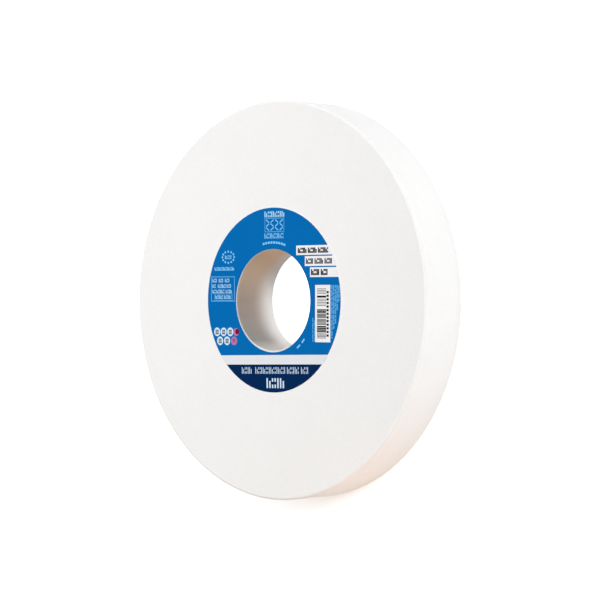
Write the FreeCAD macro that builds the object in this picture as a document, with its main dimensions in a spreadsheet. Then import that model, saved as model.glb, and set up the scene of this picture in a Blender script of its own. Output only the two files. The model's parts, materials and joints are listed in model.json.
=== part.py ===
import FreeCAD, Part
import os
import Sketcher

# Bench grinding wheel: one straight abrasive wheel with a paper blotter on each side.
# It lies on its rear blotter with the printed side up. The origin is the centre of the
# bore at the underside, and Z is the spindle axis. Sizes are in millimetres.

# Driving dimensions: name, value, meaning
DRIVING_DIMENSIONS = (
    ("wheel_diameter", 300.0, "outside diameter of the abrasive"),
    ("wheel_width", 40.0, "width of the abrasive from side to side"),
    ("bore_diameter", 76.2, "three inch bore through the abrasive"),
    ("rim_edge_radius", 2.0, "rounding of both rim edges, left by truing"),
    ("bore_chamfer", 1.0, "chamfer at both mouths of the bore"),
    ("blotter_diameter", 139.0, "outside diameter of each blotter"),
    ("blotter_thickness", 0.4, "thickness of the blotter paper"),
    ("blotter_hole_clearance", 0.1, "from the chamfer out to the blotter's hole"),
)

# Radii and heights that the pieces share
WHEEL_RADIUS = "sizes.wheel_diameter / 2"
BORE_RADIUS = "sizes.bore_diameter / 2"
BLOTTER_RADIUS = "sizes.blotter_diameter / 2"
BLOTTER_HOLE_RADIUS = BORE_RADIUS + " + sizes.bore_chamfer + sizes.blotter_hole_clearance"
WHEEL_UNDERSIDE = "sizes.blotter_thickness"
WHEEL_TOP = WHEEL_UNDERSIDE + " + sizes.wheel_width"

# How a sketch names the ends of a line, the centre of a circle and its own origin
START = 1
END = 2
CENTRE = 3
SKETCH_ORIGIN = (-1, START)
SKETCH_X_AXIS = -1

# Two radii closer than this are the same one
RADIUS_MATCH = 1e-6

doc = FreeCAD.newDocument("bench_grinding_wheel")


def fill_sheet(dimensions):
    """One row for each driving dimension, with its name as the alias of the value's cell."""
    sheet = doc.addObject("Spreadsheet::Sheet", "sizes")
    for row, (name, value, meaning) in enumerate(dimensions, start=1):
        sheet.set(f"A{row}", name)
        sheet.set(f"B{row}", str(value))
        sheet.setAlias(f"B{row}", name)
        sheet.set(f"C{row}", meaning)
    doc.recompute()
    return sheet


def new_body(name, underside):
    """A body lifted to the height of its underside."""
    body = doc.addObject("PartDesign::Body", name)
    body.Label = name
    body.setExpression("Placement.Base.z", underside)
    return body


def new_sketch(body, name, plane_role):
    """A sketch on one of the body's own origin planes."""
    sketch = body.newObject("Sketcher::SketchObject", name)
    plane = next(item for item in body.Origin.OriginFeatures if item.Role == plane_role)
    sketch.AttachmentSupport = (plane, [""])
    sketch.MapMode = "FlatFace"
    return sketch


def dimension(sketch, name, expression, *constraint):
    """A named dimension of the sketch that follows the sheet."""
    index = sketch.addConstraint(Sketcher.Constraint(*constraint))
    sketch.renameConstraint(index, name)
    sketch.setExpression(f"Constraints.{name}", expression)


def draw_ring_section(sketch, sheet):
    """Rectangle that stands on the sketch's X axis, from the bore out to the rim."""
    inner = sheet.bore_diameter / 2
    outer = sheet.wheel_diameter / 2
    height = sheet.wheel_width
    corners = [
        FreeCAD.Vector(inner, 0, 0),
        FreeCAD.Vector(outer, 0, 0),
        FreeCAD.Vector(outer, height, 0),
        FreeCAD.Vector(inner, height, 0),
    ]
    ends = zip(corners, corners[1:] + corners[:1])
    lines = [sketch.addGeometry(Part.LineSegment(start, end), False) for start, end in ends]
    underside, rim, top, bore = lines
    for line, following in zip(lines, lines[1:] + lines[:1]):
        sketch.addConstraint(Sketcher.Constraint("Coincident", line, END, following, START))
    for level in (underside, top):
        sketch.addConstraint(Sketcher.Constraint("Horizontal", level))
    for upright in (rim, bore):
        sketch.addConstraint(Sketcher.Constraint("Vertical", upright))
    sketch.addConstraint(Sketcher.Constraint("PointOnObject", underside, START, SKETCH_X_AXIS))
    dimension(sketch, "bore_radius", BORE_RADIUS,
              "DistanceX", *SKETCH_ORIGIN, underside, START, inner)
    dimension(sketch, "wheel_radius", WHEEL_RADIUS,
              "DistanceX", *SKETCH_ORIGIN, underside, END, outer)
    dimension(sketch, "width", "sizes.wheel_width",
              "DistanceY", *SKETCH_ORIGIN, top, START, height)


def corner_circles(shape, radius):
    """Names of the circular edges of this radius about the spindle axis."""
    return [
        f"Edge{number}"
        for number, edge in enumerate(shape.Edges, start=1)
        if isinstance(edge.Curve, Part.Circle) and abs(edge.Curve.Radius - radius) < RADIUS_MATCH
    ]


def abrasive_wheel(sheet):
    """Ring of bonded abrasive, with its rim edges rounded and its bore mouths chamfered."""
    body = new_body("abrasive_wheel", WHEEL_UNDERSIDE)
    section = new_sketch(body, "wheel_section", "XZ_Plane")
    draw_ring_section(section, sheet)
    ring = body.newObject("PartDesign::Revolution", "pressed_ring")
    ring.Profile = section
    ring.ReferenceAxis = (section, ["V_Axis"])
    ring.Angle = 360
    section.Visibility = False
    doc.recompute()

    trued_rim = body.newObject("PartDesign::Fillet", "trued_rim")
    trued_rim.Base = (ring, corner_circles(ring.Shape, sheet.wheel_diameter / 2))
    trued_rim.setExpression("Radius", "sizes.rim_edge_radius")
    doc.recompute()

    bore_mouths = body.newObject("PartDesign::Chamfer", "bore_mouths")
    bore_mouths.Base = (trued_rim, corner_circles(trued_rim.Shape, sheet.bore_diameter / 2))
    bore_mouths.setExpression("Size", "sizes.bore_chamfer")
    doc.recompute()
    return body


def paper_blotter(name, underside, sheet):
    """Paper washer whose hole clears the chamfered mouth of the bore."""
    body = new_body(name, underside)
    outline = new_sketch(body, f"{name}_outline", "XY_Plane")
    radii = (
        ("outer_radius", BLOTTER_RADIUS, sheet.blotter_diameter / 2),
        ("hole_radius", BLOTTER_HOLE_RADIUS, sheet.bore_diameter / 2),
    )
    for radius_name, expression, first_radius in radii:
        circle = outline.addGeometry(
            Part.Circle(FreeCAD.Vector(0, 0, 0), FreeCAD.Vector(0, 0, 1), first_radius), False
        )
        outline.addConstraint(Sketcher.Constraint("Coincident", circle, CENTRE, *SKETCH_ORIGIN))
        dimension(outline, radius_name, expression, "Radius", circle, first_radius)
    washer = body.newObject("PartDesign::Pad", f"{name}_washer")
    washer.Profile = outline
    washer.setExpression("Length", "sizes.blotter_thickness")
    outline.Visibility = False
    doc.recompute()
    return body


def check_document(pieces):
    """Stop if any object failed to build or any piece isn't one valid solid."""
    for item in doc.Objects:
        if "Invalid" in item.State or "Error" in item.State:
            raise RuntimeError(f"{item.Label} failed: {item.State}")
    for piece in pieces:
        shape = piece.Shape
        if shape.isNull() or not shape.isValid() or len(shape.Solids) != 1:
            raise RuntimeError(f"{piece.Label} is not one valid solid")


def write_pieces(pieces):
    """One STEP file for each piece, named after its label."""
    os.makedirs("parts", exist_ok=True)
    for piece in pieces:
        piece.Shape.exportStep(os.path.join("parts", f"{piece.Label}.step"))
        print(piece.Label, "volume", round(piece.Shape.Volume), "mm3")


sizes = fill_sheet(DRIVING_DIMENSIONS)
pieces = [
    paper_blotter("rear_blotter", "0 mm", sizes),
    abrasive_wheel(sizes),
    paper_blotter("front_blotter", WHEEL_TOP, sizes),
]
doc.recompute()
check_document(pieces)
write_pieces(pieces)
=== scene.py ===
import json
import math

import bpy
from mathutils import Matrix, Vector


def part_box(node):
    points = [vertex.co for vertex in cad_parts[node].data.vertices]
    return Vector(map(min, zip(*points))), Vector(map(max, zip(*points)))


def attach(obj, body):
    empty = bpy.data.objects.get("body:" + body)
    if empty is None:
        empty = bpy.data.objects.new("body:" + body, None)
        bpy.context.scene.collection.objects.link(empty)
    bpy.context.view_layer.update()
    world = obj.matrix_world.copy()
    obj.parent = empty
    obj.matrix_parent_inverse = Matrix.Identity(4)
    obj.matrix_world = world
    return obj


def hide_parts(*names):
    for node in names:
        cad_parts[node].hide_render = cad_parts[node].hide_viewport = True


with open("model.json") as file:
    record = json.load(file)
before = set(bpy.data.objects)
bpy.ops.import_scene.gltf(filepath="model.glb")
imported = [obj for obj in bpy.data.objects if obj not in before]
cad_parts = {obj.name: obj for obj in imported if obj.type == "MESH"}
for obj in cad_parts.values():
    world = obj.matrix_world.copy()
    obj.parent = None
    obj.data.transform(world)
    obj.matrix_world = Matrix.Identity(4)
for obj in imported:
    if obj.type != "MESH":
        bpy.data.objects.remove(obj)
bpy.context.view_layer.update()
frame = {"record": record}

MM = 0.001

# Sizes that come from the frame, with the rim a hair inside the CAD's
RIM_INSET = 0.002 * MM
wheel_low, wheel_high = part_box("abrasive_wheel")
front_low, front_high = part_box("front_blotter")
rear_low, rear_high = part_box("rear_blotter")
bore_mount = next(mount for mount in frame["record"]["mounts"] if mount["name"] == "bore")
WHEEL_RADIUS = wheel_high.x - RIM_INSET
BORE_RADIUS = bore_mount["dims"]["r_mm"] * MM
BLOTTER_RADIUS = front_high.x

# Edges of the wheel, and the soft edge of the paper
RIM_EDGE_RADIUS = 2.0 * MM
BORE_CHAMFER = 1.0 * MM
PAPER_EDGE = 0.1 * MM

# Holes of the blotters, the front one punched closer to the bore and a little off centre
FRONT_HOLE_RADIUS = BORE_RADIUS + 0.55 * MM
FRONT_HOLE_SHIFT = Vector((0.3, -0.5, 0)) * MM
REAR_HOLE_RADIUS = BORE_RADIUS + BORE_CHAMFER + 0.1 * MM
REAR_HOLE_SHIFT = Vector((0, 0, 0))

# Grain crumbled from the wheel's edges: how wide a chip is, and how deep at most
CHIP_WIDTH = 1.1 * MM
CHIP_DEPTH = 0.22 * MM

# How finely round shapes are divided, with the ring's steps about 1 mm apart at the rim
RING_STEPS = 960
RIM_EDGE_STEPS = 8
CHAMFER_STEPS = 4
PAPER_SIDES = 256
DISC_SIDES = 28
DOT_SIDES = 10

# A bevel's profile, for a rounding and for a flat chamfer
ROUND = 0.5
FLAT = 0.25

# Faces that meet at more than this keep a crease between them
RING_CREASE = math.radians(40)
PAPER_CREASE = math.radians(30)

# Points closer than this are one point
WELD = 0.001 * MM


def linear(hex_colour):
    """An sRGB hex colour as linear red, green, blue and alpha."""
    channels = [int(hex_colour[start:start + 2], 16) / 255 for start in (1, 3, 5)]
    return [c / 12.92 if c <= 0.04045 else ((c + 0.055) / 1.055) ** 2.4 for c in channels] + [1.0]


# Modelling by hand


def name_piece(name):
    """Name the object that was just added, and its mesh."""
    piece = bpy.context.object
    piece.name = name
    piece.data.name = name
    return piece


def select_only(piece):
    """Select this piece alone and make it the active one."""
    bpy.ops.object.select_all(action="DESELECT")
    piece.select_set(True)
    bpy.context.view_layer.objects.active = piece


def select_where(piece, kind, test):
    """In edit mode, select only the vertices, edges or faces that pass the test."""
    modes = {"vertices": "VERT", "edges": "EDGE", "polygons": "FACE"}
    bpy.ops.mesh.select_mode(type=modes[kind])
    bpy.ops.mesh.select_all(action="DESELECT")
    bpy.ops.object.mode_set(mode="OBJECT")
    for part in getattr(piece.data, kind):
        part.select = test(part)
    bpy.ops.object.mode_set(mode="EDIT")


def edge_ends(piece, edge):
    """Where the two ends of an edge lie."""
    return [piece.data.vertices[index].co for index in edge.vertices]


def apply_modifier(kind, **settings):
    """Add a modifier to the active piece, set it up and apply it."""
    bpy.ops.object.modifier_add(type=kind)
    modifier = bpy.context.object.modifiers[-1]
    for name, value in settings.items():
        setattr(modifier, name, value)
    bpy.ops.object.modifier_apply(modifier=modifier.name)


# The abrasive ring


def wheel_section():
    """Outline of the ring's section, with rounded rim corners and chamfered bore corners."""
    bpy.ops.object.select_all(action="DESELECT")
    middle = (BORE_RADIUS + WHEEL_RADIUS) / 2
    wall = WHEEL_RADIUS - BORE_RADIUS
    width = wheel_high.z - wheel_low.z
    bpy.ops.mesh.primitive_plane_add(
        size=1, location=(middle, 0, wheel_low.z + width / 2), rotation=(math.pi / 2, 0, 0)
    )
    piece = name_piece("abrasive_ring")
    bpy.ops.transform.resize(value=(wall, 1, width))
    bpy.ops.object.transform_apply(location=True, rotation=True, scale=True)
    bpy.ops.object.mode_set(mode="EDIT")
    select_where(piece, "vertices", lambda vertex: vertex.co.x > middle)
    bpy.ops.mesh.bevel(
        affect="VERTICES", offset=RIM_EDGE_RADIUS, segments=RIM_EDGE_STEPS, profile=ROUND
    )
    select_where(piece, "vertices", lambda vertex: vertex.co.x < middle)
    bpy.ops.mesh.bevel(
        affect="VERTICES", offset=BORE_CHAMFER, segments=CHAMFER_STEPS, profile=FLAT
    )
    bpy.ops.mesh.select_all(action="SELECT")
    bpy.ops.mesh.delete(type="ONLY_FACE")
    return piece


def is_on_edge(point):
    """True strictly inside the rounded rim edges and the bore's chamfers."""
    height = min(point.z - wheel_low.z, wheel_high.z - point.z)
    from_rim = WHEEL_RADIUS - point.x
    from_bore = point.x - BORE_RADIUS
    rounded = WELD < height < RIM_EDGE_RADIUS - WELD and from_rim < RIM_EDGE_RADIUS - WELD
    chamfered = WELD < height < BORE_CHAMFER - WELD and from_bore < BORE_CHAMFER - WELD
    return rounded or chamfered


def model_abrasive_ring():
    """Turn the section into a ring, then crumble its edges grain by grain, inwards only."""
    piece = wheel_section()
    bpy.ops.object.vertex_group_add()
    piece.vertex_groups[-1].name = "crumbling_edges"
    select_where(piece, "vertices", lambda vertex: is_on_edge(vertex.co))
    bpy.ops.object.vertex_group_assign()
    bpy.ops.object.mode_set(mode="OBJECT")
    apply_modifier(
        "SCREW", axis="Z", angle=math.tau, steps=RING_STEPS, render_steps=RING_STEPS,
        use_merge_vertices=True, merge_threshold=WELD, use_smooth_shade=False,
    )
    bpy.ops.object.mode_set(mode="EDIT")
    bpy.ops.mesh.select_all(action="SELECT")
    bpy.ops.mesh.normals_make_consistent(inside=False)
    bpy.ops.object.mode_set(mode="OBJECT")
    chips = bpy.data.textures.new("edge_chips", "CLOUDS")
    chips.noise_scale = CHIP_WIDTH
    chips.noise_depth = 2
    chips.contrast = 1.6
    apply_modifier(
        "DISPLACE", texture=chips, texture_coords="LOCAL", vertex_group="crumbling_edges",
        mid_level=0.0, strength=-CHIP_DEPTH,
    )
    bpy.ops.object.shade_smooth_by_angle(angle=RING_CREASE)
    apply_modifier("WEIGHTED_NORMAL", keep_sharp=True)
    return piece


# The print on the front blotter, in millimetres from the spindle axis, x right and y up.
# Each field is an ink and its outline, and a later field lies over the earlier ones.

print_fields = []

# Fields that run off the paper end this far from the axis
OFF_PAPER = 80

# The white band's edges at the middle. It runs uphill to the right, and the foot below it too.
BAND_TOP = -41.3
BAND_BOTTOM = -48.4
BAND_TILT = math.radians(1.3)

# Kinds of dummy stroke, in turn. A short one, and each half of a broken one, is this share
# of a whole one.
STROKE_KINDS = ("whole", "short", "broken", "broken", "whole")
SHORT_SHARE = 0.72
BROKEN_SHARE = 0.36


def turned(points, centre, tilt):
    """Points turned anticlockwise about a centre."""
    along = Vector((math.cos(tilt), math.sin(tilt)))
    across = Vector((-math.sin(tilt), math.cos(tilt)))
    middle = Vector(centre)
    return [middle + along * (x - middle.x) + across * (y - middle.y) for x, y in points]


def block(ink, left, right, bottom, top, tilt=0.0, centre=(0, 0)):
    """A rectangle, turned about a centre if it has a tilt."""
    corners = [(left, bottom), (right, bottom), (right, top), (left, top)]
    print_fields.append((ink, turned(corners, centre, tilt)))


def disc(ink, x, y, radius, sides=DISC_SIDES):
    """A round field, drawn with short straight sides."""
    angles = [math.tau * (side + 0.5) / sides for side in range(sides)]
    outline = [Vector((x + radius * math.cos(a), y + radius * math.sin(a))) for a in angles]
    print_fields.append((ink, outline))


def outlined_box(ink, ground, left, right, bottom, top, line):
    """A box with an outline, and the ground's colour inside it."""
    block(ink, left, right, bottom, top)
    block(ground, left + line, right - line, bottom + line, top - line)


def dummy_word(ink, left, right, middle, height, pitch, stroke, tilt=0.0):
    """A word's place, filled with upright strokes, some of them broken and some cut short."""
    bottom = middle - height / 2
    top = middle + height / 2
    for number in range(round((right - left) / pitch)):
        start = left + pitch * number
        end = start + stroke
        kind = STROKE_KINDS[number % len(STROKE_KINDS)]
        if kind == "broken":
            block(ink, start, end, bottom, bottom + BROKEN_SHARE * height, tilt)
            block(ink, start, end, top - BROKEN_SHARE * height, top, tilt)
        elif kind == "short":
            block(ink, start, end, bottom, bottom + SHORT_SHARE * height, tilt)
        else:
            block(ink, start, end, bottom, top, tilt)


def dummy_line(ink, words, middle, height, pitch, stroke, tilt=0.0):
    """A line of dummy words, each given by where it starts and ends."""
    for left, right in words:
        dummy_word(ink, left, right, middle, height, pitch, stroke, tilt)


def arched_dashes(ink, radius, first, last, count, length, thickness):
    """Dashes laid end to end along a circle about the bore, angles in degrees."""
    for number in range(count):
        angle = math.radians(first + (last - first) * number / (count - 1))
        inner = radius - thickness / 2
        outer = radius + thickness / 2
        block(ink, inner, outer, -length / 2, length / 2, angle)


def bars(ink, left, right, top, bottom, thickness, gap):
    """Bars one below the other, from the top down to the bottom."""
    height = top
    while height - thickness > bottom:
        block(ink, left, right, height - thickness, height)
        height -= thickness + gap


def dotted_oval(ink, x, y, half_width, half_height, dots, dot_radius):
    """A ring of dots along an oval."""
    for dot in range(dots):
        angle = math.tau * dot / dots
        dot_x = x + half_width * math.cos(angle)
        dot_y = y + half_height * math.sin(angle)
        disc(ink, dot_x, dot_y, dot_radius, DOT_SIDES)


def herringbone(ink, left, top, rows, columns):
    """Rows of short slats that lean one way and the other in turn, placed by the first one."""
    across = 4.75
    down = 2.9
    length = 3.8
    thickness = 0.9
    lean = math.radians(35)
    for row in range(rows):
        for column in range(columns):
            x = left + across * column
            y = top - down * row
            tilt = lean if (row + column) % 2 else -lean
            block(
                ink, x - length / 2, x + length / 2, y - thickness / 2, y + thickness / 2,
                tilt, (x, y),
            )


def lay_foot():
    """White band, navy foot and the foot's two lines."""
    block("white", -OFF_PAPER, OFF_PAPER, BAND_BOTTOM, BAND_TOP, BAND_TILT)
    block("navy", -OFF_PAPER, OFF_PAPER, -OFF_PAPER, BAND_BOTTOM, BAND_TILT)
    words = ((-33.4, -22.2), (-19.0, 12.2), (14.2, 26.6), (28.6, 37.2))
    dummy_line("pale", words, middle=-52.9, height=5.0, pitch=1.6, stroke=0.64, tilt=BAND_TILT)
    words = ((-7.4, 12.2),)
    dummy_line("pale", words, middle=-62.4, height=7.5, pitch=2.8, stroke=1.45, tilt=BAND_TILT)


def lay_head():
    """Column of dummy lines above the bore, with a framed herringbone between two of them."""
    dummy_line("ice", ((-8.2, 13.2),), middle=64.4, height=4.4, pitch=1.78, stroke=1.15)
    outlined_box("mist", "blue", left=-8.0, right=12.4, bottom=51.0, top=61.6, line=0.6)
    herringbone("sky", left=-4.9, top=59.2, rows=3, columns=4)
    dummy_line("sky", ((-8.2, 12.2),), middle=48.2, height=4.0, pitch=1.46, stroke=0.82)
    arched_dashes("sky", radius=43.2, first=73.0, last=102.0, count=9, length=2.15, thickness=1.7)


def lay_stepped_plates():
    """Three stepped white plates that run out to the paper's edge, with a dummy line each."""
    for left, bottom, top in ((24.8, 33.3, 40.4), (33.6, 25.1, 32.4), (38.8, 16.9, 24.1)):
        block("plate", left, OFF_PAPER, bottom, top)
    words = ((26.4, 35.5), (36.6, 45.7), (46.8, 57.2))
    dummy_line("charcoal", words, middle=36.7, height=4.0, pitch=1.3, stroke=1.16)
    words = ((34.6, 42.1), (43.4, 52.1), (53.4, 60.9))
    dummy_line("charcoal", words, middle=28.7, height=4.1, pitch=1.25, stroke=1.02)
    words = ((39.8, 48.2), (49.6, 56.6))
    dummy_line("charcoal", words, middle=20.5, height=4.5, pitch=1.4, stroke=1.26)


def lay_bar_plate():
    """White plate with groups of bars across it, and a column of dots beside them."""
    block("plate", left=44.0, right=59.2, bottom=-31.0, top=11.1)
    bars_left = 45.9
    bars_right = 55.0
    groups = (
        (8.4, 4.0, 0.42, 0.70), (3.2, 1.6, 1.45, 0.50), (0.8, -5.2, 0.42, 0.74),
        (-6.8, -9.9, 0.90, 0.18), (-10.4, -13.1, 0.74, 0.20), (-13.8, -18.6, 0.62, 0.32),
        (-19.0, -24.0, 1.04, 0.22), (-24.6, -27.0, 0.50, 0.44), (-27.6, -28.8, 0.50, 0.45),
    )
    for top, bottom, thickness, gap in groups:
        bars("charcoal", bars_left, bars_right, top, bottom, thickness, gap)
    bars("charcoal", left=55.4, right=57.6, top=6.6, bottom=-27.0, thickness=1.65, gap=1.0)


def lay_fine_columns():
    """Fine sideways lines each side of the bar plate, as dashes of uneven length."""
    lengths = (3.1, 4.6, 2.2, 3.7, 5.2)
    shortest = 1.0
    gap = 0.6
    columns = (
        (60.0, 1.4, 11.0, -28.0), (61.8, 1.4, 11.0, -21.0), (63.6, 1.4, 11.0, -18.0),
        (65.3, 1.4, 11.0, -8.0), (67.0, 1.4, 10.4, -1.0),
        (41.2, 1.0, -13.2, -30.6), (42.8, 1.0, -15.0, -30.6),
    )
    for first_dash, (left, width, top, bottom) in enumerate(columns):
        dash = first_dash
        height = top
        while height - bottom > shortest:
            length = min(lengths[dash % len(lengths)], height - bottom)
            block("mist", left, left + width, height - length, height)
            height -= length + gap
            dash += 1


def lay_left_side():
    """Dotted oval, a dense line and an outlined box with four dummy lines."""
    dotted_oval("sky", -47.0, 32.8, half_width=6.4, half_height=4.3, dots=12, dot_radius=0.9)
    dummy_line("sky", ((-50.6, -43.1),), middle=32.8, height=3.0, pitch=1.5, stroke=0.9)
    dummy_line("sky", ((-62.0, -40.6),), middle=23.9, height=2.7, pitch=0.98, stroke=0.72)
    outlined_box("mist", "blue", left=-65.9, right=-39.9, bottom=-1.2, top=18.2, line=0.8)
    outlined_box("mist", "blue", left=-62.3, right=-42.3, bottom=-0.4, top=4.7, line=0.4)
    rows = (
        (15.0, ((-64.4, -59.0), (-57.4, -52.2), (-50.6, -45.4))),
        (10.7, ((-64.4, -60.9), (-58.4, -49.8), (-48.8, -43.4))),
        (6.5, ((-64.4, -60.9), (-60.0, -51.4), (-49.8, -42.8))),
        (2.2, ((-61.2, -52.4), (-51.4, -43.6))),
    )
    for middle, words in rows:
        dummy_line("ice", words, middle, height=2.9, pitch=1.0, stroke=0.62)


def lay_discs():
    """Two rows of plain discs: pale ones with three short bars, and two rose ones."""
    radius = 3.35
    for x, y in ((-59.2, -24.5), (-52.1, -24.5), (-44.8, -24.4), (-55.9, -31.4), (-48.3, -31.3)):
        disc("pale", x, y, radius)
        bars("charcoal", x - 1.7, x + 1.7, y + 1.6, y - 2.0, thickness=0.8, gap=0.5)
    disc("rose", -38.5, -24.4, radius=2.95)
    disc("crimson", -37.3, -24.1, radius=2.1)
    disc("rose", -40.7, -31.2, radius)
    bars("crimson", left=-42.0, right=-39.4, top=-29.9, bottom=-32.6, thickness=0.6, gap=0.6)


def lay_bore_dashes():
    """Two pairs of short dashes that follow the bore at its lower right."""
    for first, last in ((-53.0, -50.4), (-44.8, -42.2)):
        arched_dashes("sky", 43.9, first, last, count=2, length=2.0, thickness=1.4)


def lay_print():
    """Every field, with the band and the foot lowest."""
    lay_foot()
    lay_head()
    lay_stepped_plates()
    lay_bar_plate()
    lay_fine_columns()
    lay_left_side()
    lay_discs()
    lay_bore_dashes()


# The blotters

# The walls that cut the print reach this far above the paper's face, and as far below it
WALL_REACH = 1 * MM

# A face whose normal rises less than this is a wall
UPRIGHT = 0.5

# A point this near to a circle lies on it
CIRCLE_MATCH = 10 * WELD


def paper_ring(name, top, hole_radius, hole_shift):
    """The flat upper face of a blotter, a ring of narrow faces short of its soft edges."""
    bpy.ops.object.select_all(action="DESELECT")
    outer = BLOTTER_RADIUS - PAPER_EDGE
    inner = hole_radius + PAPER_EDGE
    bpy.ops.mesh.primitive_circle_add(vertices=PAPER_SIDES, radius=outer, location=(0, 0, top))
    piece = name_piece(name)
    bpy.ops.object.transform_apply(location=True, rotation=False, scale=False)
    bpy.ops.object.mode_set(mode="EDIT")
    bpy.ops.mesh.select_all(action="SELECT")
    bpy.ops.mesh.extrude_edges_move()
    bpy.ops.transform.resize(value=(inner / outer, inner / outer, 1))
    bpy.ops.transform.translate(value=hole_shift)
    bpy.ops.object.mode_set(mode="OBJECT")
    return piece


def print_walls(height):
    """Upright walls along the outline of every printed field, standing through the paper."""
    points = []
    edges = []
    for _, outline in print_fields:
        first = len(points)
        count = len(outline)
        points += [(corner.x * MM, corner.y * MM, height - WALL_REACH) for corner in outline]
        edges += [(first + side, first + (side + 1) % count) for side in range(count)]
    mesh = bpy.data.meshes.new("print_walls")
    mesh.from_pydata(points, edges, [])
    walls = bpy.data.objects.new("print_walls", mesh)
    bpy.context.collection.objects.link(walls)
    select_only(walls)
    bpy.ops.object.mode_set(mode="EDIT")
    bpy.ops.mesh.select_all(action="SELECT")
    bpy.ops.mesh.extrude_edges_move(TRANSFORM_OT_translate={"value": (0, 0, 2 * WALL_REACH)})
    bpy.ops.mesh.select_all(action="SELECT")
    bpy.ops.object.mode_set(mode="OBJECT")
    return walls


def cut_print(piece, height):
    """Cut the outlines of the print into the flat face of the paper.

    The walls join the paper all selected and the paper isn't, so that one cuts the other.
    Then the walls go: their upright faces first, and the loose edges that are left of them.
    """
    walls = print_walls(height)
    select_only(piece)
    bpy.ops.object.mode_set(mode="EDIT")
    bpy.ops.mesh.select_all(action="DESELECT")
    bpy.ops.object.mode_set(mode="OBJECT")
    walls.select_set(True)
    bpy.ops.object.join()
    bpy.ops.object.mode_set(mode="EDIT")
    bpy.ops.mesh.intersect(mode="SELECT_UNSELECT", separate_mode="NONE", solver="EXACT")
    select_where(piece, "polygons", lambda face: abs(face.normal.z) < UPRIGHT)
    bpy.ops.mesh.delete(type="FACE")
    bpy.ops.mesh.select_mode(type="EDGE")
    bpy.ops.mesh.select_all(action="DESELECT")
    bpy.ops.mesh.select_loose()
    bpy.ops.mesh.delete(type="EDGE")
    bpy.ops.mesh.select_all(action="SELECT")
    bpy.ops.mesh.remove_doubles(threshold=WELD)
    bpy.ops.object.mode_set(mode="OBJECT")


def lies_on_circle(piece, edge, centre, radius):
    """True for an edge with both ends on a circle in the flat face."""
    return all(
        abs((end - centre).length - radius) < CIRCLE_MATCH for end in edge_ends(piece, edge)
    )


def fold_edge_down(piece, centre, radius, swell, wall_height):
    """Soften one round edge of the flat face, and draw it down to the underside."""
    select_where(piece, "edges", lambda edge: lies_on_circle(piece, edge, centre, radius))
    bpy.ops.mesh.extrude_edges_move(TRANSFORM_OT_translate={"value": (0, 0, -PAPER_EDGE)})
    bpy.ops.transform.resize(value=(swell, swell, 1), center_override=centre)
    bpy.ops.mesh.extrude_edges_move(TRANSFORM_OT_translate={"value": (0, 0, -wall_height)})


def close_paper(piece, top, bottom, hole_radius, hole_shift):
    """Fold the two edges of the flat face down and close the underside."""
    middle = Vector((0, 0, top))
    outer = BLOTTER_RADIUS - PAPER_EDGE
    inner = hole_radius + PAPER_EDGE
    wall_height = top - bottom - PAPER_EDGE
    bpy.ops.object.mode_set(mode="EDIT")
    fold_edge_down(piece, middle, outer, BLOTTER_RADIUS / outer, wall_height)
    fold_edge_down(piece, middle + hole_shift, inner, hole_radius / inner, wall_height)
    select_where(
        piece, "edges",
        lambda edge: all(abs(end.z - bottom) < WELD for end in edge_ends(piece, edge)),
    )
    bpy.ops.mesh.bridge_edge_loops()
    bpy.ops.mesh.select_all(action="SELECT")
    bpy.ops.mesh.normals_make_consistent(inside=False)
    bpy.ops.object.mode_set(mode="OBJECT")
    bpy.ops.object.shade_smooth_by_angle(angle=PAPER_CREASE)


def lies_inside(point, outline):
    """Even and odd crossings of a ray from the point with the outline."""
    inside = False
    for start, end in zip(outline, outline[1:] + outline[:1]):
        if (start.y > point.y) != (end.y > point.y):
            crossing = start.x + (point.y - start.y) / (end.y - start.y) * (end.x - start.x)
            if point.x < crossing:
                inside = not inside
    return inside


def ink_at(point):
    """The last field printed over this point, or the blue ground."""
    for ink, outline in reversed(print_fields):
        if lies_inside(point, outline):
            return ink
    return "blue"


def ink_faces(piece, top, slots):
    """Give each cut face of the printed side its ink's slot, and the rest plain paper.

    A cut face can be hollow, so its ink is read at the middle of its largest triangle.
    """
    mesh = piece.data
    mesh.calc_loop_triangles()
    largest = {}
    for triangle in mesh.loop_triangles:
        face = triangle.polygon_index
        if face not in largest or triangle.area > largest[face].area:
            largest[face] = triangle
    for face in mesh.polygons:
        corners = [mesh.vertices[index].co for index in largest[face.index].vertices]
        middle = sum(corners, Vector()) / 3
        if abs(middle.z - top) < WELD:
            face.material_index = slots[ink_at(middle.xy / MM)]
        else:
            face.material_index = slots["white"]


# Materials, with each pattern's scale as one over the size of what repeats, in metres

# The Mix node's colour sockets share their names with others, so they are found by number
MIX_FACTOR = 0
MIX_A = 6
MIX_B = 7
MIX_RESULT = 2


def add_node(material, kind, inputs=None, **settings):
    """Add a node with its settings; an input is a value, or the output that feeds it."""
    node = material.node_tree.nodes.new(kind)
    for name, value in settings.items():
        setattr(node, name, value)
    for name, value in (inputs or {}).items():
        if isinstance(value, bpy.types.NodeSocket):
            material.node_tree.links.new(value, node.inputs[name])
        else:
            node.inputs[name].default_value = value
    return node


def new_material(name):
    """An empty material with its shader and its place on the object, in metres."""
    material = bpy.data.materials.new(name)
    material.use_nodes = True
    shader = material.node_tree.nodes["Principled BSDF"]
    place = add_node(material, "ShaderNodeTexCoord").outputs["Object"]
    return material, shader, place


def feed(material, output, socket):
    """Link an output to a socket of a node that is already there."""
    material.node_tree.links.new(output, socket)


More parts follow.
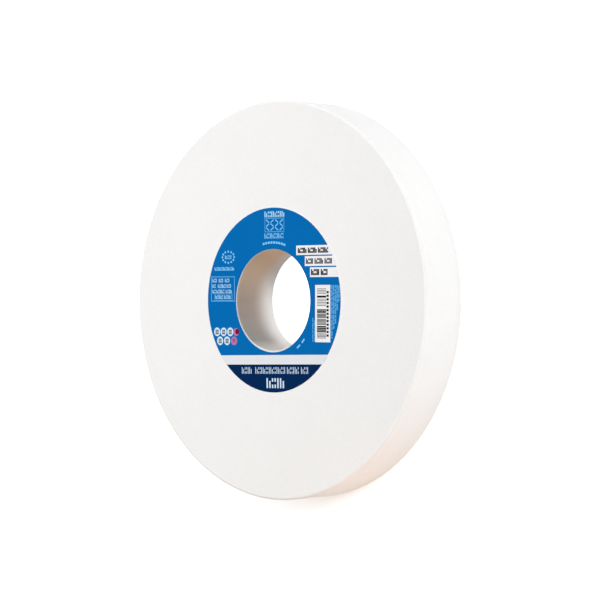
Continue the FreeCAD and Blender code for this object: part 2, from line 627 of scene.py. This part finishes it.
def painted_bore_shade(material, place, body):
    """Painted shade on the bore's wall: tan and grey, most near the front.

    It fades out over the chamfer, and reaches deeper above the axis than below it.
    """
    fade_start = BORE_RADIUS + 0.3 * MM
    fade_end = BORE_RADIUS + 0.9 * MM
    unshaded_below = wheel_low.z + 1 * MM
    shaded_above = wheel_low.z + 24 * MM
    slant = 0.15
    flattened = add_node(
        material, "ShaderNodeVectorMath", {0: place, 1: (1, 1, 0)}, operation="MULTIPLY"
    )
    radius = add_node(
        material, "ShaderNodeVectorMath", {0: flattened.outputs["Vector"]}, operation="LENGTH"
    )
    on_wall = add_node(
        material, "ShaderNodeMapRange",
        {"Value": radius.outputs["Value"], "From Min": fade_start, "From Max": fade_end,
         "To Min": 1.0, "To Max": 0.0},
    )
    across = add_node(material, "ShaderNodeSeparateXYZ", {"Vector": place})
    above_axis = add_node(
        material, "ShaderNodeMath", {0: across.outputs["Y"], 1: 0.0}, operation="MAXIMUM"
    )
    slanted_height = add_node(
        material, "ShaderNodeMath",
        {0: above_axis.outputs["Value"], 1: slant, 2: across.outputs["Z"]},
        operation="MULTIPLY_ADD",
    )
    towards_front = add_node(
        material, "ShaderNodeMapRange",
        {"Value": slanted_height.outputs["Value"], "From Min": unshaded_below,
         "From Max": shaded_above, "To Min": 0.0, "To Max": 1.0},
        interpolation_type="SMOOTHSTEP",
    )
    # Colours of the painted shade, grey below the axis and tan above it
    tone = add_node(
        material, "ShaderNodeMapRange",
        {"Value": across.outputs["Y"], "From Min": -BORE_RADIUS, "From Max": BORE_RADIUS},
    )
    shade_ramp = add_node(material, "ShaderNodeValToRGB", {"Fac": tone.outputs["Result"]})
    stops = shade_ramp.color_ramp.elements
    stops[0].color = linear("#E2E1DF")
    stops[1].color = linear("#EED2B6")
    stops.new(0.10).color = linear("#A3A19F")
    stops.new(0.50).color = linear("#B2A49A")
    amount = add_node(
        material, "ShaderNodeMath",
        {0: on_wall.outputs["Result"], 1: towards_front.outputs["Result"]}, operation="MULTIPLY",
    )
    shaded_colour = add_node(
        material, "ShaderNodeMix",
        {MIX_FACTOR: amount.outputs["Value"], MIX_A: body.outputs[MIX_RESULT],
         MIX_B: shade_ramp.outputs["Color"]},
        data_type="RGBA",
    )
    return shaded_colour.outputs[MIX_RESULT]


def fused_alumina():
    """White fused alumina grain in a vitrified bond, trued with a diamond: matt and sugary.

    An 80 grit grain is about 0.18 mm and most pores are no larger, too fine for a picture of
    the whole wheel, so clusters of grain and the few larger pores are drawn instead.
    """
    material, shader, place = new_material("vitrified_white_fused_alumina")
    cluster_size = 0.7 * MM
    cluster_contrast = 0.16
    pore_spacing = 1.9 * MM
    pore_contrast = 0.14
    cloud_size = 45 * MM
    grain_relief = 0.15 * MM
    clouds = add_node(
        material, "ShaderNodeTexNoise",
        {"Vector": place, "Scale": 1 / cloud_size, "Detail": 3.0, "Roughness": 0.6},
    )
    clusters = add_node(
        material, "ShaderNodeTexVoronoi",
        {"Vector": place, "Scale": 1 / cluster_size, "Randomness": 1.0}, feature="F1",
    )
    pores = add_node(
        material, "ShaderNodeTexVoronoi",
        {"Vector": place, "Scale": 1 / pore_spacing, "Randomness": 1.0}, feature="F1",
    )
    body = add_node(
        material, "ShaderNodeMix",
        {MIX_FACTOR: clouds.outputs["Fac"], MIX_A: linear("#F6F6F6"), MIX_B: linear("#F1F1F1")},
        data_type="RGBA",
    )
    cluster_tone = add_node(
        material, "ShaderNodeMapRange",
        {"Value": clusters.outputs["Color"], "From Min": 0.0, "From Max": 1.0,
         "To Min": 0.0, "To Max": cluster_contrast},
    )
    grained = add_node(
        material, "ShaderNodeMix",
        {MIX_FACTOR: cluster_tone.outputs["Result"], MIX_A: body.outputs[MIX_RESULT],
         MIX_B: linear("#DAD9D7")},
        data_type="RGBA",
    )
    pore_mask = add_node(
        material, "ShaderNodeMapRange",
        {"Value": pores.outputs["Distance"], "From Min": 0.08, "From Max": 0.26,
         "To Min": pore_contrast, "To Max": 0.0},
    )
    pored = add_node(
        material, "ShaderNodeMix",
        {MIX_FACTOR: pore_mask.outputs["Result"], MIX_A: grained.outputs[MIX_RESULT],
         MIX_B: linear("#BAB5AC")},
        data_type="RGBA",
    )
    # Painted shade on the bore's wall goes over the body's colour
    feed(material, painted_bore_shade(material, place, pored), shader.inputs["Base Color"])
    relief = add_node(
        material, "ShaderNodeMath",
        {0: clusters.outputs["Distance"], 1: pore_mask.outputs["Result"]}, operation="SUBTRACT",
    )
    bump = add_node(
        material, "ShaderNodeBump",
        {"Height": relief.outputs["Value"], "Strength": 0.5, "Distance": grain_relief},
    )
    feed(material, bump.outputs["Normal"], shader.inputs["Normal"])
    shader.inputs["Roughness"].default_value = 0.88
    shader.inputs["Specular IOR Level"].default_value = 0.3
    return material


def printed_paper(name, ink):
    """Ink on glazed blotter paper: even colour, a low sheen and a faint fibre in it."""
    material, shader, place = new_material(name)
    fibre_size = 1.6 * MM
    fibre_relief = 0.05 * MM
    cloud_size = 14 * MM
    thin_ink = 0.92
    fibres = add_node(
        material, "ShaderNodeTexNoise",
        {"Vector": place, "Scale": 1 / fibre_size, "Detail": 4.0, "Distortion": 1.2},
    )
    clouds = add_node(
        material, "ShaderNodeTexNoise", {"Vector": place, "Scale": 1 / cloud_size, "Detail": 2.0}
    )
    full = linear(ink)
    thin = [channel * thin_ink for channel in full[:3]] + [1.0]
    tone = add_node(
        material, "ShaderNodeMix",
        {MIX_FACTOR: clouds.outputs["Fac"], MIX_A: full, MIX_B: thin}, data_type="RGBA",
    )
    feed(material, tone.outputs[MIX_RESULT], shader.inputs["Base Color"])
    bump = add_node(
        material, "ShaderNodeBump",
        {"Height": fibres.outputs["Fac"], "Strength": 0.12, "Distance": fibre_relief},
    )
    feed(material, bump.outputs["Normal"], shader.inputs["Normal"])
    shader.inputs["Roughness"].default_value = 0.55
    shader.inputs["Specular IOR Level"].default_value = 0.02
    return material


def plain_blotter():
    """Uncoated blotter paper: soft, warm off-white, with a felted surface."""
    material, shader, place = new_material("uncoated_blotter_paper")
    fibre_size = 2.2 * MM
    fibre_relief = 0.08 * MM
    fibres = add_node(
        material, "ShaderNodeTexNoise",
        {"Vector": place, "Scale": 1 / fibre_size, "Detail": 5.0, "Distortion": 1.5},
    )
    tone = add_node(
        material, "ShaderNodeMix",
        {MIX_FACTOR: fibres.outputs["Fac"], MIX_A: linear("#EFEBE1"), MIX_B: linear("#E2DCCD")},
        data_type="RGBA",
    )
    feed(material, tone.outputs[MIX_RESULT], shader.inputs["Base Color"])
    bump = add_node(
        material, "ShaderNodeBump",
        {"Height": fibres.outputs["Fac"], "Strength": 0.4, "Distance": fibre_relief},
    )
    feed(material, bump.outputs["Normal"], shader.inputs["Normal"])
    shader.inputs["Roughness"].default_value = 0.95
    shader.inputs["Specular IOR Level"].default_value = 0.2
    return material


# Each ink's material and colour, in the order of the front blotter's slots
INKS = {
    "white": ("unprinted_glazed_paper", "#E6E9EE"),
    "plate": ("white_ink_on_paper", "#F3F3F6"),
    "blue": ("blue_ink_on_paper", "#006BB5"),
    "navy": ("navy_ink_on_paper", "#002654"),
    "mist": ("mid_blue_ink_on_paper", "#58A6E0"),
    "sky": ("sky_blue_ink_on_paper", "#80C8F8"),
    "ice": ("ice_blue_ink_on_paper", "#A8D8F6"),
    "pale": ("pale_ink_on_paper", "#D2E8FA"),
    "charcoal": ("charcoal_ink_on_paper", "#231F1E"),
    "rose": ("rose_ink_on_paper", "#B878A6"),
    "crimson": ("crimson_ink_on_paper", "#7A1038"),
}


# Pieces

wheel = model_abrasive_ring()
wheel.data.materials.append(fused_alumina())
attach(wheel, "root")
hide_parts("abrasive_wheel")

lay_print()
front = paper_ring(
    "printed_front_blotter", front_high.z, FRONT_HOLE_RADIUS, FRONT_HOLE_SHIFT
)
cut_print(front, front_high.z)
close_paper(front, front_high.z, front_low.z, FRONT_HOLE_RADIUS, FRONT_HOLE_SHIFT)
front.data.materials.clear()
for material_name, ink_colour in INKS.values():
    front.data.materials.append(printed_paper(material_name, ink_colour))
ink_faces(front, front_high.z, {ink: number for number, ink in enumerate(INKS)})
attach(front, "root")
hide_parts("front_blotter")

rear = paper_ring("plain_rear_blotter", rear_high.z, REAR_HOLE_RADIUS, REAR_HOLE_SHIFT)
close_paper(rear, rear_high.z, rear_low.z, REAR_HOLE_RADIUS, REAR_HOLE_SHIFT)
rear.data.materials.append(plain_blotter())
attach(rear, "root")
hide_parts("rear_blotter")


# Floor, background and light

WHITE = (1, 1, 1, 1)

# Lamps are aimed at the spindle axis, about halfway through the wheel
LAMP_TARGET = Vector((0, 0, 20 * MM))


def seen_directly(material):
    """1 where the camera looks straight, or through a shine or a clear thing, and else 0."""
    path = add_node(material, "ShaderNodeLightPath")
    shine = add_node(
        material, "ShaderNodeMath",
        {0: path.outputs["Is Glossy Ray"], 1: path.outputs["Is Transmission Ray"]},
        operation="MAXIMUM",
    )
    direct = add_node(
        material, "ShaderNodeMath",
        {0: path.outputs["Is Camera Ray"], 1: shine.outputs["Value"]}, operation="MAXIMUM",
    )
    return direct.outputs["Value"]


def white_floor():
    """Pale floor that keeps the wheel's soft shadow, and is seen as white away from it.

    Its glow is painted light, only for the eye, and lights nothing: full white inside the bore,
    over the wheel's shade there, and far off, and weaker where the shadow lies around the wheel.
    """
    floor_size = 12
    shadow_glow = (0.4, 0.4, 0.4, 1)
    white_beyond = 0.8
    bpy.ops.object.select_all(action="DESELECT")
    bpy.ops.mesh.primitive_plane_add(size=floor_size, location=(0, 0, 0))
    floor = name_piece("floor")
    material, shader, place = new_material("matt_white_floor")
    shader.inputs["Base Color"].default_value = linear("#F8F8F8")
    shader.inputs["Roughness"].default_value = 1.0
    shader.inputs["Specular IOR Level"].default_value = 0.0
    shader.inputs["Emission Color"].default_value = WHITE
    # Painted light: the floor glows full white inside the bore where the wheel shades it, less
    # around the wheel, and white again far off
    from_axis = add_node(material, "ShaderNodeVectorMath", {0: place}, operation="LENGTH")
    painted_floor_glow = add_node(material, "ShaderNodeValToRGB", {"Fac": from_axis.outputs["Value"]})
    stops = painted_floor_glow.color_ramp.elements
    stops[0].position = BORE_RADIUS
    stops[1].position = white_beyond
    stops.new(WHEEL_RADIUS - 10 * MM).color = shadow_glow
    stops.new(2 * WHEEL_RADIUS).color = shadow_glow
    for end in (stops[0], stops[-1]):
        end.color = WHITE
    glow = add_node(
        material, "ShaderNodeMath",
        {0: seen_directly(material), 1: painted_floor_glow.outputs["Color"]}, operation="MULTIPLY",
    )
    feed(material, glow.outputs["Value"], shader.inputs["Emission Strength"])
    floor.data.materials.append(material)


def studio_world(strength):
    """Even light from all round, and plain white wherever the camera sees past the floor."""
    world = bpy.data.worlds.new("studio")
    world.use_nodes = True
    bpy.context.scene.world = world
    background = world.node_tree.nodes["Background"]
    background.inputs["Color"].default_value = WHITE
    level = add_node(
        world, "ShaderNodeMapRange",
        {"Value": seen_directly(world), "To Min": strength, "To Max": 1.0},
    )
    feed(world, level.outputs["Result"], background.inputs["Strength"])


def softbox(name, place, width, height, level, colour="#FFFFFF"):
    """Area light aimed at the wheel and out of the picture itself.

    The level is the light that it gives at the wheel's axis to a white face turned to it.
    """
    bpy.ops.object.light_add(type="AREA", location=place)
    lamp = bpy.context.object
    lamp.name = name
    lamp.visible_camera = False
    aim = LAMP_TARGET - Vector(place)
    lamp.rotation_euler = aim.to_track_quat("-Z", "Y").to_euler()
    lamp.data.shape = "RECTANGLE"
    lamp.data.size = width
    lamp.data.size_y = height
    lamp.data.energy = level * math.pi ** 2 * aim.length_squared
    lamp.data.color = linear(colour)[:3]


white_floor()
studio_world(strength=0.2)

# Soft light from above on the printed side, and from the upper right on the side and the rim
softbox("key_light", (-0.28, 0.115, 0.9), width=0.8, height=0.8, level=0.64)
softbox("side_light", (2.61, 1.39, 2.23), width=1.2, height=1.2, level=0.475)

# Low strips that lift the rim, one at the lower right and one beyond the head of the print
softbox("rim_light", (1.45, -0.70, 0.06), width=1.0, height=0.1, level=0.22)
softbox("upper_rim_light", (-0.13, 1.50, 0.06), width=1.0, height=0.1, level=0.155)

# Warm light from the foot's side: a broad one on the bore's wall, a small one by the rim
softbox("warm_fill", (-0.04, -1.03, 0.60), width=0.5, height=0.3, level=0.072, colour="#FFCE84")
softbox("warm_glow", (0.125, -0.22, 0.05), width=0.06, height=0.04, level=0.028, colour="#FF9E20")


# Camera where the photograph was taken from: level with the axis, turned to the right

PHOTO_YAW = math.radians(43.4)
PHOTO_DISTANCE = 1.539
PHOTO_SIDESTEP = 6.83 * MM
PHOTO_LENS = 121.8
FILM_WIDTH = 36
FARTHEST_SEEN = 50

bpy.ops.object.camera_add()
camera = bpy.context.object
camera.name = "photo_camera"
towards = Vector((math.sin(PHOTO_YAW), 0, math.cos(PHOTO_YAW)))
sideways = Vector((math.cos(PHOTO_YAW), 0, -math.sin(PHOTO_YAW)))
mid_wheel = Vector((0, 0, (wheel_low.z + wheel_high.z) / 2))
camera.location = mid_wheel + towards * PHOTO_DISTANCE + sideways * PHOTO_SIDESTEP
camera.rotation_euler = (0, PHOTO_YAW, 0)
camera.data.lens = PHOTO_LENS
camera.data.sensor_width = FILM_WIDTH
camera.data.clip_end = FARTHEST_SEEN
bpy.context.scene.camera = camera
bpy.context.scene.view_settings.view_transform = "Standard"
